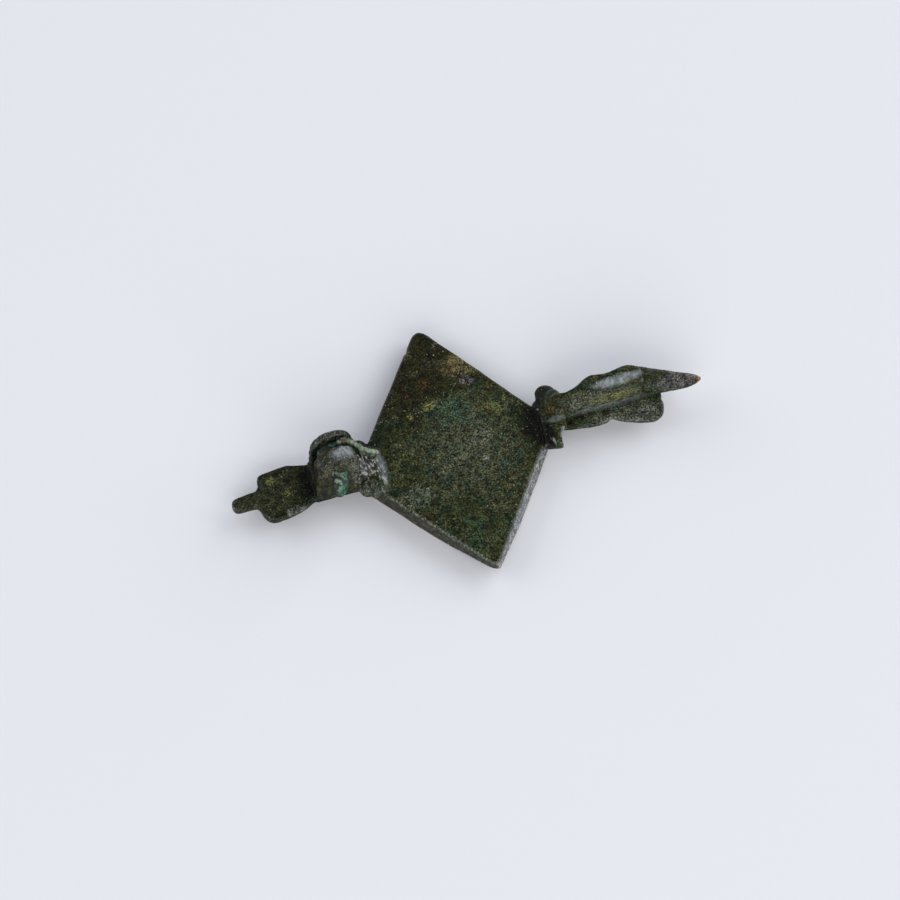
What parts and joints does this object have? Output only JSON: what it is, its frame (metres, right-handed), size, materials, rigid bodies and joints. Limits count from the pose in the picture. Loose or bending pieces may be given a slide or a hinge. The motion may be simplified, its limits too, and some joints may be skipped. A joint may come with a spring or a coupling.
{
  "type": "roman plate brooch",
  "caption": "Roman lozenge plate brooch lying face down, with knobbed crossbars, leaf-shaped terminals, a corroded pin hinge and a folded catchplate.",
  "frame": {"origin": "middle of the lozenge plate's front face, which is what the brooch lies on", "axes": "+X along the brooch from the hinge to the catch, +Y across it, +Z from the front face up to the back"},
  "size_m": [0.0459, 0.0255, 0.0078],
  "materials": {
    "bronze": "dark green-black corroded patina",
    "malachite": "green corrosion crust",
    "crusted_bronze": "dark crust with rust-red spots"
  },
  "bodies": {
    "root": {"brooch_body": "bronze", "hinge_axis": "malachite", "pin_eye": "crusted_bronze"}
  },
  "joints": []
}
